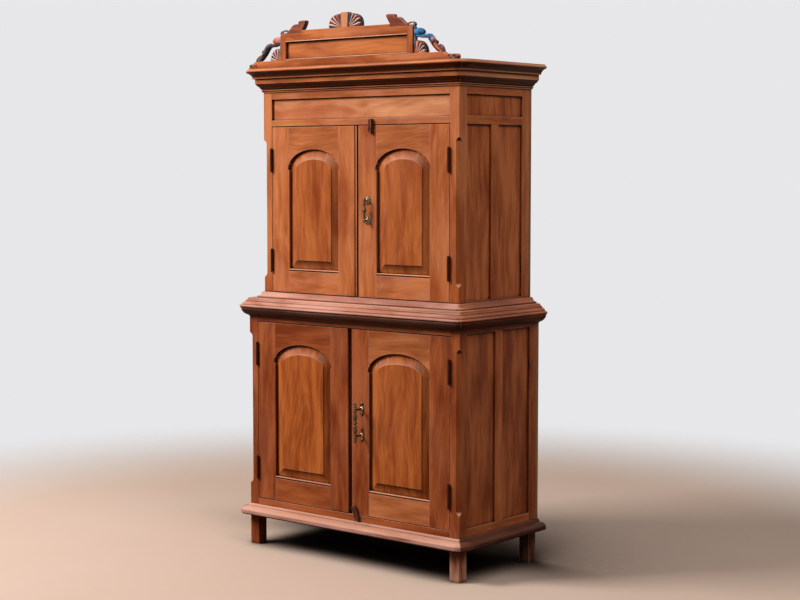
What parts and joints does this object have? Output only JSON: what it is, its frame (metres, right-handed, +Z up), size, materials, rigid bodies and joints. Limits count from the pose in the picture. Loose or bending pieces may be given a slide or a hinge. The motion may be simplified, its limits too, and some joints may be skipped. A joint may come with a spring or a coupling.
{
  "type": "trastero cabinet",
  "caption": "Tall two-stage panelled pine cupboard with arched raised-panel doors above and below, stepped mouldings, square legs and a carved, painted crest.",
  "frame": {"origin": "on the floor, under the centre of the overall box", "axes": "+Z up, +X to the right along the front, +Y to the back; the doors face -Y"},
  "size_m": [1.14, 0.537, 2.083],
  "materials": {
    "waxed_pine": "red-brown waxed pine with knots, streaks and worn light edges",
    "waxed_pine_panels": "the same pine with open cathedral figure, a little more orange",
    "plain_boards": "plain unwaxed pine boards, dull brown",
    "painted_carving": "carved pine with worn blue, red, white and grey-green paint",
    "aged_brass": "dull aged brass, dark in the hollows",
    "dark_iron": "dark brown iron with worn edges"
  },
  "bodies": {
    "case": {"base_moulding_front": "waxed_pine", "base_moulding_sides": "waxed_pine", "cornice_front": "waxed_pine", "cornice_sides": "waxed_pine", "crest_base_rail": "waxed_pine", "crest_brackets": "painted_carving", "crest_ears": "waxed_pine", "crest_fans": "painted_carving", "crest_panel": "waxed_pine_panels", "crest_posts": "waxed_pine", "crest_shell": "painted_carving", "crest_top_rail": "waxed_pine", "deck_board": "waxed_pine", "door_stops": "plain_boards", "foot_moulding_front": "waxed_pine", "foot_moulding_sides": "waxed_pine", "frieze_panel": "waxed_pine_panels", "hinge_case_leaves": "dark_iron", "hinge_pins": "dark_iron", "lower_back_boards": "plain_boards", "lower_front_rails": "waxed_pine", "lower_posts": "waxed_pine", "lower_shelves": "plain_boards", "lower_side_panels": "waxed_pine_panels", "lower_side_rails": "waxed_pine", "shelf_cleats": "plain_boards", "side_muntins": "waxed_pine", "top_board": "waxed_pine", "upper_back_boards": "plain_boards", "upper_front_rails": "waxed_pine", "upper_posts": "waxed_pine", "upper_shelves": "plain_boards", "upper_side_panels": "waxed_pine_panels", "upper_side_rails": "waxed_pine", "waist_moulding_front": "waxed_pine", "waist_moulding_sides": "waxed_pine"},
    "upper_left_door": {"upper_left_door_hinge_leaves": "dark_iron", "upper_left_door_panel": "waxed_pine_panels", "upper_left_door_rails": "waxed_pine", "upper_left_door_stiles": "waxed_pine"},
    "upper_right_door": {"upper_right_door_hinge_leaves": "dark_iron", "upper_right_door_panel": "waxed_pine_panels", "upper_right_door_rails": "waxed_pine", "upper_right_door_stiles": "waxed_pine", "upper_handle_bar": "aged_brass", "upper_handle_rosettes": "aged_brass", "upper_button_screw": "dark_iron"},
    "upper_turn_button": {"upper_turn_button": "waxed_pine"},
    "lower_left_door": {"lower_left_door_hinge_leaves": "dark_iron", "lower_left_door_panel": "waxed_pine_panels", "lower_left_door_rails": "waxed_pine", "lower_left_door_stiles": "waxed_pine"},
    "lower_right_door": {"lower_right_door_hinge_leaves": "dark_iron", "lower_right_door_panel": "waxed_pine_panels", "lower_right_door_rails": "waxed_pine", "lower_right_door_stiles": "waxed_pine", "lower_handle_bar": "aged_brass", "lower_handle_rosettes": "aged_brass", "lower_button_screw": "dark_iron"},
    "lower_turn_button": {"lower_turn_button": "waxed_pine"}
  },
  "joints": [
    {"name": "upper_left_door_hinge", "type": "hinge", "parent": "case", "child": "upper_left_door", "pos_m": [-0.4447, -0.18, 1.34], "axis": [0, 0, -1], "range_deg": [0, 105]},
    {"name": "upper_right_door_hinge", "type": "hinge", "parent": "case", "child": "upper_right_door", "pos_m": [0.4447, -0.18, 1.34], "axis": [0, 0, 1], "range_deg": [0, 105]},
    {"name": "lower_left_door_hinge", "type": "hinge", "parent": "case", "child": "lower_left_door", "pos_m": [-0.4847, -0.226, 0.54], "axis": [0, 0, -1], "range_deg": [0, 105]},
    {"name": "lower_right_door_hinge", "type": "hinge", "parent": "case", "child": "lower_right_door", "pos_m": [0.4847, -0.226, 0.54], "axis": [0, 0, 1], "range_deg": [0, 105]},
    {"name": "upper_turn_button_pivot", "type": "hinge", "parent": "upper_right_door", "child": "upper_turn_button", "pos_m": [0.0725, -0.1814, 1.65], "axis": [0, -1, 0], "range_deg": [-90, 90]},
    {"name": "lower_turn_button_pivot", "type": "hinge", "parent": "lower_right_door", "child": "lower_turn_button", "pos_m": [0.033, -0.2274, 0.204], "axis": [0, -1, 0], "range_deg": [-90, 90]}
  ]
}
